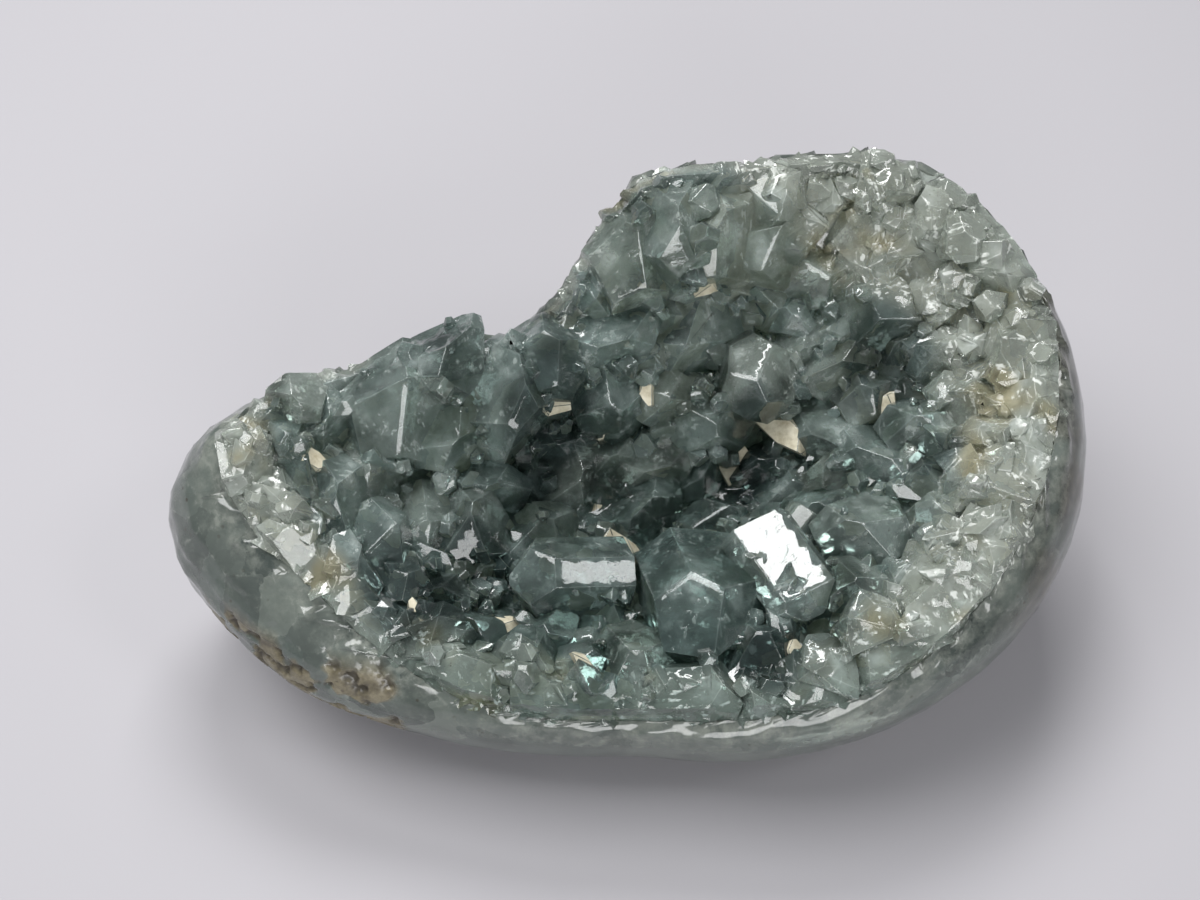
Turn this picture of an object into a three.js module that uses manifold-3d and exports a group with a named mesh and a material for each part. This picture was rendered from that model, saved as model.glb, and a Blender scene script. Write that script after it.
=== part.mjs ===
// A celestite geode, 160 mm long: half of a hollow nodule, ground smooth and polished outside, with its mouth
// open to the top and front. The polished rind is a thick bowl that rests on a small ground flat. A crust of
// orthorhombic celestite crystals, stout prisms with four-faced points, lines the whole hollow.
//
// Millimetres, +Z up, +X along the length, +Y to the back. The origin is under the middle of the part.

import * as THREE from "three";
import { mergeVertices } from "three/addons/utils/BufferGeometryUtils.js";
import Module from "manifold-3d";

const wasm = await Module();
wasm.setup();

// ---- Driving dimensions -------------------------------------------------------------------------------------

// The nodule's form, one value for each 22.5 degrees of plan angle, anticlockwise from +X.
// GIRTH is the plan radius at the widest level, GIRTH_Z that level's height, RIM the plan radius of the
// mouth's edge and RIM_Z its height. OVER_RIM is how far crystals stand above that edge.
const GIRTH = [78, 82, 78, 58, 48, 40, 42, 57, 82, 72, 56, 47, 44, 49, 58, 69];
const GIRTH_Z = [34, 36, 38, 40, 40, 36, 33, 32, 32, 28, 25, 25, 26, 27, 29, 32];
const RIM = [70, 75, 69, 50, 41, 33, 36, 51, 72, 60, 51, 45, 42, 46, 55, 63];
const RIM_Z = [52, 58, 66, 69, 70, 54, 44, 46, 49, 41, 32, 29, 29, 31, 35, 43];
const OVER_RIM = [2, 2, 2, 5, 11, 9, 20, 12, 6, 3, 3, 4, 4, 4, 3, 2];

const BASE_FLAT = 21; // radius of the ground flat that it rests on
const HOLLOW_FLOOR_Z = 17; // lowest point of the rind's hollow
const HOLLOW_POWER = 2.4; // how steeply the hollow's wall climbs to the rim
const SEAT_GAP = 0.3; // clearance between the rind and the crust
const CRUST_BASE = 3; // thickness of the massive celestite under the crystals

const OUTSIDE_COLUMNS = 56; // facets round the polished outside
const HOLLOW_COLUMNS = 48; // facets round the hollow
const SKY_Z = 160; // a height above everything, for the cutting solids

// Celestite's unit cell, in angstroms. Its ratios set the angles between the crystals' faces.
const CELL = new THREE.Vector3(8.359, 5.352, 6.866);

const ROOT_DEPTH = 6; // how far a crystal's prism runs on under the crust's surface
const MOUTH = new THREE.Vector3(0, -0.45, 0.89); // the way the hollow opens, which crystals lean towards
const MOUTH_PULL = 0.9; // how strongly they lean, against 1 for the wall's normal
const SMALL_TRIES = 6000; // places tried for the small crystals between the large ones
const SMALL_HALF = [5, 7]; // their least and greatest half width
const SMALL_RISE = [4, 9]; // and how far they stand out
const CROWDING = 0.6; // least distance between neighbours, as a share of their half widths added up

// The large crystals: plan place of the root, half width, rise out of the crust, lean of the axis towards
// +X and +Y, and turn about the axis in degrees. A crystal that is broken off has true at the end.
const LARGE_CRYSTALS = [
  // middle of the hollow
  [30, -14, 7, 10, -0.1, 0.1, 30],
  [-5, -19, 5, 11, 0.1, 0.1, 40],
  [-18, -3, 7, 11, 0.2, 0.2, 10],
  [0, 4, 7.5, 12, 0.1, -0.2, 35],
  [-13, 12, 7, 10, 0.3, -0.3, 60],
  [2, 14, 7.5, 12, -0.2, -0.4, 15],
  [12, 15, 6.5, 11, 0.3, -0.2, 50],
  [24, 12, 7, 8, -0.2, 0.1, 25],
  // left end
  [-65, 3, 7, 8, 0.1, 0.5, 30],
  [-61, -2, 6, 9, 0.2, -0.2, 60],
  [-51, 4, 7.5, 11, 0.1, 0.1, 20],
  [-56, -6, 7, 12, -0.2, -0.2, 45],
  [-49, -12, 6, 12, 0.5, -0.1, 10],
  [-43, -19, 6, 8, 0.2, 0.2, 30],
  [-41, -4, 7.5, 11, 0.1, -0.2, 15],
  [-32, -4, 7, 13, -0.1, 0.1, 40],
  [-29, 7, 7, 12, 0.1, -0.2, 5],
  [-63, -11, 7.5, 7, 0.1, 0.2, 50, true],
  [-52, -21, 8, 7, 0.1, 0.2, 25, true],
  // back left, along the low part of the rim
  [-44, 17, 10.5, 17, 0, 0.7, 20],
  [-55, 12, 7.5, 8, -0.1, 0.3, 40],
  [-36, 15, 6.5, 13, 0.2, -0.4, 30],
  [-27, 19, 9, 21, 0.1, 1, 45],
  [-35, 23, 6, 15, 0, 0.9, 10],
  [-18, 24, 7, 16, 0.1, 1.1, 25],
  [-7, 23, 6.5, 12, 0.1, -0.2, 50],
  [2, 25, 6, 12, 0.1, -0.3, 10],
  [12, 23, 7.5, 15, 0, -0.4, 0],
  // back right, the high wall
  [-6, 29, 8, 12, -0.2, 0.1, 10],
  [8, 32, 10, 12, -0.1, -0.1, 30],
  [20, 30, 7.5, 18, 0.1, -0.5, 20],
  [29, 33, 6.5, 13, 0, -0.2, 45],
  [-3, 36, 7.5, 11, -0.3, 0.9, 60],
  [3, 39, 8, 13, -0.1, 0.8, 75],
  [13, 41, 8, 12, 0, 0.8, 40],
  [23, 42, 6.5, 11, 0, 0.8, 15],
  [31, 41, 8, 9, 0.1, 0.4, 50],
  [36, 17, 10.5, 13, -0.3, -0.4, 5],
  [37, 29, 7, 13, 0, -0.2, 35],
  [45, 34, 9, 11, 0.1, -0.1, 25, true],
  // right wall and its broad broken band
  [45, 8, 7, 12, -0.1, -0.1, 20],
  [54, 9, 8, 10, 0.1, 0.1, 45],
  [41, -9, 8, 14, 0, -0.1, 30],
  [34, -1, 7, 12, -0.1, 0.1, 60],
  [53, -23, 8.5, 12, 0.1, 0.1, 20, true],
  [62, 10, 8, 10, 0.2, 0, 10, true],
  [60, 23, 9, 9, 0.2, 0.1, 40, true],
  [57, 34, 9, 9, 0.1, 0.1, 70, true],
  [45, 44, 9, 8, 0.1, 0.2, 15, true],
  [62, -7, 9, 9, 0.2, 0, 55, true],
  // front, under the low rim
  [-30, -35, 8, 8, 0.1, 0.2, 30, true],
  [-19, -33, 7.5, 11, 0.1, 0, 15],
  [-1, -34, 8, 12, 0, 0, 50],
  [-9, -35, 6, 9, 0.1, 0, 20],
  [21, -34, 7, 10, 0, 0.1, 40],
  [30, -38, 7.5, 8, 0.1, 0.1, 10, true],
  [42, -35, 8, 10, 0, 0.1, 35],
  [38, -21, 7, 12, 0.1, -0.1, 25],
];

// Three crystals lie across the others. Heading and pitch aim the axis, in degrees, and cap is the distance from
// the axis to the broad upper {001} face.
const LYING_CRYSTALS = [
  { root: [10, -17, 27], half: 10.5, rise: 20, heading: -76, pitch: 24, turn: 32, cap: 11 },
  { root: [22.5, -14, 35.6], half: 5.4, rise: 15.5, heading: -61, pitch: 2, turn: 0, cap: 3.4 },
  { root: [-8, -15, 30], half: 5.6, rise: 17, heading: 190, pitch: 14, turn: -25, cap: 5 },
];

// ---- Chance, the same in every build ------------------------------------------------------------------------

let chanceState = 20240617;

// An even random number from 0 to 1.
function chance() {
  chanceState = (chanceState + 0x6d2b79f5) | 0;
  let t = Math.imul(chanceState ^ (chanceState >>> 15), 1 | chanceState);
  t = (t + Math.imul(t ^ (t >>> 7), 61 | t)) ^ t;
  return ((t ^ (t >>> 14)) >>> 0) / 4294967296;
}

const between = ([low, high]) => low + (high - low) * chance();

// ---- The nodule's form as functions of plan angle -------------------------------------------------------------

const TURN = 2 * Math.PI;

// A smooth closed curve through evenly spaced values.
function around(values, angle) {
  const n = values.length;
  const place = (((angle / TURN) % 1) + 1) * n;
  const i = Math.floor(place);
  const t = place - i;
  const [a, b, c, d] = [-1, 0, 1, 2].map((k) => values[(i + k + n) % n]);
  return b + 0.5 * t * (c - a + t * (2 * a - 5 * b + 4 * c - d + t * (3 * (b - c) + d - a)));
}

const polar = (angle, r, z) => new THREE.Vector3(r * Math.cos(angle), r * Math.sin(angle), z);

// Height of the hollow's wall at a share of the way from its middle to the rim.
const hollowZ = (angle, share) =>
  HOLLOW_FLOOR_Z + (around(RIM_Z, angle) - HOLLOW_FLOOR_Z) * share ** HOLLOW_POWER;

// The point of the hollow's wall over a place in plan.
function wallPoint(x, y) {
  const angle = Math.atan2(y, x);
  const share = Math.hypot(x, y) / around(RIM, angle);
  return new THREE.Vector3(x, y, hollowZ(angle, share));
}

// The wall's normal there, pointing into the hollow.
function wallNormal(x, y) {
  const step = 1;
  const alongX = wallPoint(x + step, y).sub(wallPoint(x - step, y));
  const alongY = wallPoint(x, y + step).sub(wallPoint(x, y - step));
  return alongX.cross(alongY).normalize();
}

// ---- Solids ----------------------------------------------------------------------------------------------------

// A closed mesh of stacked rings, given from the bottom up, with a point under the first and over the last.
function ringGeometry(rings, low, high) {
  const n = rings[0].length;
  const points = [low, ...rings.flat(), high];
  const index = [];
  for (let j = 0; j < n; j++) {
    const k = (j + 1) % n;
    index.push(0, 1 + k, 1 + j);
    for (let i = 0; i + 1 < rings.length; i++) {
      const [a, b] = [1 + i * n, 1 + (i + 1) * n];
      index.push(a + j, a + k, b + k, a + j, b + k, b + j);
    }
    const top = 1 + (rings.length - 1) * n;
    index.push(top + j, top + k, points.length - 1);
  }
  return new THREE.BufferGeometry().setFromPoints(points).setIndex(index);
}

const ring = (columns, place) => Array.from({ length: columns }, (_, j) => place((j / columns) * TURN));

function solidOf(geometry) {
  const bare = geometry.clone();
  bare.deleteAttribute("normal");
  bare.deleteAttribute("uv");
  const merged = mergeVertices(bare, 1e-4);
  return new wasm.Manifold(
    new wasm.Mesh({
      numProp: 3,
      vertProperties: new Float32Array(merged.attributes.position.array),
      triVerts: new Uint32Array(merged.index.array),
    }),
  );
}

function geometryOf(solid) {
  const mesh = solid.getMesh();
  const geometry = new THREE.BufferGeometry();
  geometry.setAttribute("position", new THREE.BufferAttribute(mesh.vertProperties, 3));
  geometry.setIndex(new THREE.BufferAttribute(mesh.triVerts, 1));
  geometry.computeVertexNormals();
  return geometry;
}

// The polished outside: the ground flat, a full rounded underside, the girth, and a roll in to the rim.
// Over the rim it closes in a cone, which the hollow cuts away.
function noduleSolid() {
  const rings = [];
  const underSteps = 7;
  for (let i = 0; i <= underSteps; i++) {
    const s = ((i / underSteps) * Math.PI) / 2;
    rings.push(
      ring(OUTSIDE_COLUMNS, (a) => {
        const r = BASE_FLAT + (around(GIRTH, a) - BASE_FLAT) * Math.sin(s) ** 0.95;
        return polar(a, r, around(GIRTH_Z, a) * (1 - Math.cos(s)));
      }),
    );
  }
  const rollSteps = 4;
  const rollEnd = THREE.MathUtils.degToRad(65);
  for (let i = 1; i <= rollSteps; i++) {
    const s = (i / rollSteps) * rollEnd;
    rings.push(
      ring(OUTSIDE_COLUMNS, (a) => {
        const inward = (1 - Math.cos(s)) / (1 - Math.cos(rollEnd));
        const upward = Math.sin(s) / Math.sin(rollEnd);
        const [girth, low] = [around(GIRTH, a), around(GIRTH_Z, a)];
        return polar(a, girth + (around(RIM, a) - girth) * inward, low + (around(RIM_Z, a) - low) * upward);
      }),
    );
  }
  return solidOf(ringGeometry(rings, new THREE.Vector3(0, 0, 0), new THREE.Vector3(0, 0, SKY_Z)));
}

// The hollow and all the space over it, its wall moved in and up by the inset. Above the rim the sides run on
// outward to the last share and then go straight up.
function hollowSolid(inset, lastShares) {
  const shares = [0.2, 0.4, 0.6, 0.8, 0.9, ...lastShares];
  const radius = (angle, share) => around(RIM, angle) * share - inset;
  const rings = shares.map((share) =>
    ring(HOLLOW_COLUMNS, (a) => polar(a, radius(a, share), hollowZ(a, share) + inset)),
  );
  rings.push(ring(HOLLOW_COLUMNS, (a) => polar(a, radius(a, shares.at(-1)), SKY_Z)));
  const low = new THREE.Vector3(0, 0, HOLLOW_FLOOR_Z + inset);
  return solidOf(ringGeometry(rings, low, new THREE.Vector3(0, 0, SKY_Z)));
}

// The space under a lid that stands over the mouth's edge by the given heights.
function lidSolid(over) {
  const level = (a) => around(RIM_Z, a) + around(over, a);
  const wide = (a) => around(RIM, a) * 1.3;
  const rings = [
    ring(HOLLOW_COLUMNS, (a) => polar(a, wide(a), 0)),
    ring(HOLLOW_COLUMNS, (a) => polar(a, wide(a), level(a))),
    ring(HOLLOW_COLUMNS, (a) => polar(a, around(RIM, a), level(a))),
    ring(HOLLOW_COLUMNS, (a) => polar(a, around(RIM, a) * 0.6, level(a) + 8)),
  ];
  return solidOf(ringGeometry(rings, new THREE.Vector3(0, 0, 0), new THREE.Vector3(0, 0, SKY_Z)));
}

// ---- Crystals --------------------------------------------------------------------------------------------------

// The unit normal of the crystal face with these Miller indices. Crystals grow along their own +X.
const facing = (h, k, l) => new THREE.Vector3(h, k, l).divide(CELL).normalize();

// The solid on the near side of a plane.
const keepBehind = (solid, normal, distance) => solid.trimByPlane(normal.clone().negate().toArray(), -distance);

// A crystal at the origin: a six-sided prism along +X, its point at the given rise, with faces a little
// uneven. The cap is the distance to its upper {001} face. A broken one ends in a slanting fracture.
function crystalSolid({ half, rise, broken = false, cap = half * between([1, 1.3]) }) {
  const long = rise + ROOT_DEPTH;
  const deep = half * 1.2;
  const blank = new THREE.BoxGeometry(long, half * 4, cap + deep);
  blank.translate(rise - long / 2, 0, (cap - deep) / 2);
  let solid = solidOf(blank);
  for (const [k, l] of [[1, 1], [1, -1], [-1, 1], [-1, -1]]) {
    solid = keepBehind(solid, facing(0, k, l), half * between([0.85, 1.15]));
  }
  for (const [h, k, l] of [[2, 1, 0], [2, -1, 0], [1, 0, 1], [1, 0, -1]]) {
    const normal = facing(h, k, l);
    solid = keepBehind(solid, normal, normal.x * rise - half * between([-0.1, 0.3]));
  }
  if (broken) {
    const slant = new THREE.Vector3(1, between([-0.7, 0.7]), between([-0.7, 0.7])).normalize();
    solid = keepBehind(solid, slant, rise * between([0.4, 0.7]));
  }
  return solid;
}

// A crystal's solid moved to a place, with its axis aimed and turned by an angle in degrees about it.
function posed(solid, at, axis, turn) {
  const side = new THREE.Vector3(0, 0, 1).cross(axis).normalize();
  const pose = new THREE.Matrix4().makeBasis(axis, side, axis.clone().cross(side));
  pose.multiply(new THREE.Matrix4().makeRotationX(THREE.MathUtils.degToRad(turn)));
  return solid.transform(pose.setPosition(at).elements);
}

// A crystal that stands on the hollow's wall and leans to its mouth.
function plantedCrystal(x, y, half, rise, leanX, leanY, turn, broken) {
  const normal = wallNormal(x, y);
  const lean = new THREE.Vector3(leanX, leanY, 0);
  const axis = normal.clone().addScaledVector(MOUTH, MOUTH_PULL).add(lean).normalize();
  const root = wallPoint(x, y).addScaledVector(normal, CRUST_BASE);
  return posed(crystalSolid({ half, rise, broken }), root, axis, turn);
}

function lyingCrystal({ root, half, rise, heading, pitch, turn, cap }) {
  const [h, p] = [heading, pitch].map(THREE.MathUtils.degToRad);
  const axis = polar(h, Math.cos(p), Math.sin(p));
  return posed(crystalSolid({ half, rise, cap }), new THREE.Vector3(...root), axis, turn);
}

function largeCrystals() {
  return LARGE_CRYSTALS.map(([x, y, half, rise, leanX, leanY, turn, broken]) =>
    plantedCrystal(x, y, half, rise, leanX, leanY, turn, broken),
  );
}

// Small crystals wherever the wall is still bare, down to a least distance between neighbours.
function smallCrystals() {
  const taken = LARGE_CRYSTALS.map(([x, y, half]) => ({ at: wallPoint(x, y), half }));
  const solids = [];
  for (let i = 0; i < SMALL_TRIES; i++) {
    const angle = between([0, TURN]);
    const { x, y } = polar(angle, around(RIM, angle) * Math.sqrt(chance()) * 0.985);
    const [half, rise] = [between(SMALL_HALF), between(SMALL_RISE)];
    const at = wallPoint(x, y);
    if (taken.every((other) => at.distanceTo(other.at) > (half + other.half) * CROWDING)) {
      const [leanX, leanY] = [between([-0.5, 0.5]), between([-0.5, 0.5])];
      solids.push(plantedCrystal(x, y, half, rise, leanX, leanY, between([0, 180]), false));
      taken.push({ at, half });
    }
  }
  return solids;
}

// ---- The part ----------------------------------------------------------------------------------------------------

const rindSolid = noduleSolid().subtract(hollowSolid(0, [1, 1.12]));

const NO_OVER = RIM_Z.map(() => 0);
const seat = hollowSolid(SEAT_GAP, [1]);
const massive = seat.subtract(hollowSolid(CRUST_BASE, [1])).intersect(lidSolid(NO_OVER));
const crystals = wasm.Manifold.union([
  ...largeCrystals(),
  ...LYING_CRYSTALS.map(lyingCrystal),
  ...smallCrystals(),
]);
const joined = massive.add(crystals.intersect(lidSolid(OVER_RIM)).intersect(seat));
const crustSolid = joined.decompose().reduce((a, b) => (a.volume() > b.volume() ? a : b));

const geode = new THREE.Group();
const rind = new THREE.Mesh(
  geometryOf(rindSolid),
  new THREE.MeshStandardMaterial({ color: 0x8a9494, roughness: 0.25, metalness: 0 }),
);
rind.name = "polished_rind";
geode.add(rind);

const crust = new THREE.Mesh(
  geometryOf(crustSolid),
  new THREE.MeshStandardMaterial({ color: 0x6b7a7e, roughness: 0.1, metalness: 0, flatShading: true }),
);
crust.name = "crystal_crust";
geode.add(crust);

// The origin goes under the middle of the part, on the plane that it rests on.
const middle = new THREE.Box3().setFromObject(geode).getCenter(new THREE.Vector3());
for (const mesh of geode.children) {
  mesh.geometry.translate(-middle.x, -middle.y, 0);
}

export default geode;
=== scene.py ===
"""Looks of a celestite geode: glassy blue-grey crystals in the hollow of a ground and polished rind."""

import math

import bmesh
import bpy
import numpy as np
from mathutils import Matrix, Vector, kdtree, noise as space_noise
from mathutils.bvhtree import BVHTree


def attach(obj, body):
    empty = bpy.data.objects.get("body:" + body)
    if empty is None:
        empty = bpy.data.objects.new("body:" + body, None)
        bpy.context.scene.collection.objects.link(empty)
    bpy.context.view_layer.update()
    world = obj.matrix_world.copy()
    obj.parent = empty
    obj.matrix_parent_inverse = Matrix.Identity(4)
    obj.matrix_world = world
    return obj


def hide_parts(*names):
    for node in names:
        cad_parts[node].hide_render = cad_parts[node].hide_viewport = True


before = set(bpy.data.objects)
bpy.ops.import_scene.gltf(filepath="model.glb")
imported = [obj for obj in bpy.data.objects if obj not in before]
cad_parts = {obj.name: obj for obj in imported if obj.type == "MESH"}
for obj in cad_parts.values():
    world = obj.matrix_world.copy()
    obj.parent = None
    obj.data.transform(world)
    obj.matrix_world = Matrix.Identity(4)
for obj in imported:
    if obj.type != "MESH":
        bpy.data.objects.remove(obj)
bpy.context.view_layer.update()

MM = 0.001

# ---- Materials ----

IOR = 1.62  # celestite's own
SHARE, UNDER, OVER, MIXED = 0, 6, 7, 2  # the Mix node's share, its two colours, and its result
BLEND = {"data_type": "RGBA"}
DARKEN = {"data_type": "RGBA", "blend_type": "MULTIPLY", SHARE: 1.0}
TIMES = {"operation": "MULTIPLY"}
PLUS = {"operation": "ADD"}


def linear(hex_colour):
    """An sRGB hex colour as linear RGBA."""
    shares = [int(hex_colour[i : i + 2], 16) / 255 for i in (1, 3, 5)]
    light = [c / 12.92 if c <= 0.04045 else ((c + 0.055) / 1.055) ** 2.4 for c in shares]
    return (*light, 1.0)


def add(tree, kind, settings, out=0):
    """Adds a node and gives one of its outputs. A setting in small letters is a property, and any other is
    an input, by name or number: a socket is linked to it, and a number or colour is set on it. A ramp's
    stops are positions, each with a hex colour or a grey."""
    node = tree.nodes.new("ShaderNode" + kind)
    for key, setting in settings.items():
        if key == "stops":
            set_stops(node.color_ramp, setting)
        elif isinstance(setting, bpy.types.NodeSocket):
            tree.links.new(setting, node.inputs[key])
        elif isinstance(key, str) and key.islower():
            setattr(node, key, setting)
        else:
            node.inputs[key].default_value = setting
    return node.outputs[out] if node.outputs else None


def set_stops(band, stops):
    """Gives a colour ramp its stops."""
    while len(band.elements) < len(stops):
        band.elements.new(0.5)
    for element, (position, shade) in zip(band.elements, stops):
        element.position = position
        element.color = linear(shade) if isinstance(shade, str) else (shade, shade, shade, 1)


def material(name):
    """A new material with no nodes, and its node tree."""
    made = bpy.data.materials.new(name)
    made.use_nodes = True
    made.node_tree.nodes.clear()
    return made, made.node_tree


def celestite_crystal():
    """Glassy celestite, grown in a hollow: clear blue-grey to milky, with soft veils of tiny fluid drops,
    fine parallel fractures that catch the light, thin chipped edges and a little dust. Crushed parts are
    paler."""
    made, tree = material("celestite_crystal")
    place = add(tree, "TexCoord", {}, "Object")
    names = ("crystal", "facet", "edge", "cloud", "pale", "smoky", "openness", "high", "stain")
    carried = [add(tree, "Attribute", {"attribute_name": name}, "Fac") for name in names]
    grain, face, edge, cloud, pale, smoky, opened, high, stain = carried

    # each crystal has its own blue-grey and each face its own shade, and crushed parts are nearly white
    stops = [(0.0, "#a5bab5"), (0.5, "#b9cbc6"), (1.0, "#ccd8ce")]
    tint = add(tree, "ValToRGB", {"Fac": grain, "stops": stops})
    shade = add(tree, "ValToRGB", {"Fac": face, "stops": [(0.0, 0.84), (1.0, 1.0)]})
    tint = add(tree, "Mix", {**DARKEN, UNDER: tint, OVER: shade}, MIXED)
    crushed = add(tree, "Math", {**TIMES, 0: pale, 1: 0.8})
    tint = add(tree, "Mix", {**BLEND, SHARE: crushed, UNDER: tint, OVER: linear("#d5dace")}, MIXED)

    # veils of tiny fluid drops, milky in the cloudier crystals, and a faint tan stain on crushed parts
    wisps = {"Scale": 1 / (5 * MM), "Detail": 4, "Roughness": 0.65}
    veils = add(tree, "TexNoise", {"Vector": place, **wisps})
    dense = add(tree, "ValToRGB", {"Fac": veils, "stops": [(0.48, 0.0), (0.7, 0.6)]})
    cloudy = add(tree, "ValToRGB", {"Fac": cloud, "stops": [(0.4, 0.25), (0.6, 1.0)]})
    milk = add(tree, "Math", {**TIMES, 0: dense, 1: cloudy})
    tint = add(tree, "Mix", {**BLEND, SHARE: milk, UNDER: tint, OVER: linear("#d0d9d5")}, MIXED)
    stained = add(tree, "Math", {**TIMES, 0: stain, 1: pale})
    tint = add(tree, "Mix", {**BLEND, SHARE: stained, UNDER: tint, OVER: linear("#cdc39c")}, MIXED)

    # fractures: fine parallel lines in patches, each crystal's its own way, and most where it is crushed
    swing = add(tree, "Math", {**TIMES, 0: grain, 1: 40})
    turned = add(tree, "VectorRotate", {"Vector": place, "Axis": (0.5, 0.6, 0.62), "Angle": swing})
    drawn = add(tree, "VectorMath", {**TIMES, 0: turned, 1: (1, 1, 0.12)})
    lines = add(tree, "TexNoise", {"Vector": drawn, "Scale": 1 / (0.8 * MM), "Detail": 2})
    cracks = add(tree, "ValToRGB", {"Fac": lines, "stops": [(0.5, 0.0), (0.6, 1.0)]})
    spread = add(tree, "TexNoise", {"Vector": place, "Scale": 1 / (3 * MM), "Detail": 3, "Roughness": 0.6})
    patches = add(tree, "ValToRGB", {"Fac": spread, "stops": [(0.54, 0.0), (0.62, 1.0)]})
    broken = add(tree, "Math", {**TIMES, 0: cracks, 1: patches})
    crushed = add(tree, "Math", {**TIMES, 0: pale, 1: 0.55})
    amount = add(tree, "Math", {**PLUS, 0: crushed, 1: 0.3})
    broken = add(tree, "Math", {**TIMES, 0: broken, 1: amount})
    tint = add(tree, "Mix", {**BLEND, SHARE: broken, UNDER: tint, OVER: linear("#eef1ec")}, MIXED)

    # dark clear crystals, with painted shade on some of them; painted shade in the gaps, under overhangs and
    # low in the hollow; and chipped edges made lighter, partly as a painted highlight
    tint = add(tree, "Mix", {**BLEND, SHARE: smoky, UNDER: tint, OVER: linear("#4c5e5e")}, MIXED)
    shade = add(tree, "ValToRGB", {"Fac": opened, "stops": [(0.05, 0.4), (0.35, 0.8), (0.65, 1.0)]})
    tint = add(tree, "Mix", {**DARKEN, UNDER: tint, OVER: shade}, MIXED)
    shade = add(tree, "ValToRGB", {"Fac": high, "stops": [(0.0, "#b3c0bf"), (1.0, 1.0)]})
    tint = add(tree, "Mix", {**DARKEN, UNDER: tint, OVER: shade}, MIXED)
    # partly chipped edges, partly a painted highlight along them
    chipped = add(tree, "Math", {**TIMES, 0: edge, 1: 0.12})
    tint = add(tree, "Mix", {**BLEND, SHARE: chipped, UNDER: tint, OVER: linear("#e8eeea")}, MIXED)

    # dust, as sparse brown specks
    specks = add(tree, "TexVoronoi", {"Vector": place, "Scale": 1 / (1.7 * MM)}, "Distance")
    dust = add(tree, "Math", {"operation": "LESS_THAN", 0: specks, 1: 0.075})
    cloudy = add(tree, "ValToRGB", {"Fac": cloud, "stops": [(0.4, 0.0), (0.6, 0.9)]})
    dust = add(tree, "Math", {**TIMES, 0: dust, 1: cloudy})
    tint = add(tree, "Mix", {**BLEND, SHARE: dust, UNDER: tint, OVER: linear("#3b3a33")}, MIXED)

    # clear crystal lets most of the light through, and each flaw takes some of that away
    clear = add(tree, "ValToRGB", {"Fac": cloud, "stops": [(0.35, 0.93), (0.65, 0.74)]})
    for flaw, strength in ((milk, 0.5), (pale, 0.15), (broken, 0.8), (edge, 0.1), (dust, 1.0)):
        lost = add(tree, "Math", {**TIMES, 0: flaw, 1: strength})
        left = add(tree, "Math", {"operation": "SUBTRACT", 0: 1.0, 1: lost})
        clear = add(tree, "Math", {**TIMES, 0: clear, 1: left})

    # faintly uneven faces, glossy, and a little duller where they are milky
    waves = add(tree, "Math", {**TIMES, 0: veils, 1: 0.2})
    steps = add(tree, "Math", {**TIMES, 0: lines, 1: broken})
    steps = add(tree, "Math", {**TIMES, 0: steps, 1: 0.3})
    height = add(tree, "Math", {**PLUS, 0: waves, 1: steps})
    normal = add(tree, "Bump", {"Height": height, "Strength": 0.5, "Distance": 0.6 * MM})
    gloss = add(tree, "ValToRGB", {"Fac": milk, "stops": [(0.0, 0.05), (0.5, 0.16)]})
    glass = {"IOR": IOR, "Transmission Weight": clear, "Roughness": gloss}
    surface = add(tree, "BsdfPrincipled", {**glass, "Base Color": tint, "Normal": normal})
    body =add(tree, "VolumeAbsorption", {"Color": linear("#9fb5b1"), "Density": 38.0})
    add(tree, "OutputMaterial", {"Surface": surface, "Volume": body})
    return made


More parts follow.
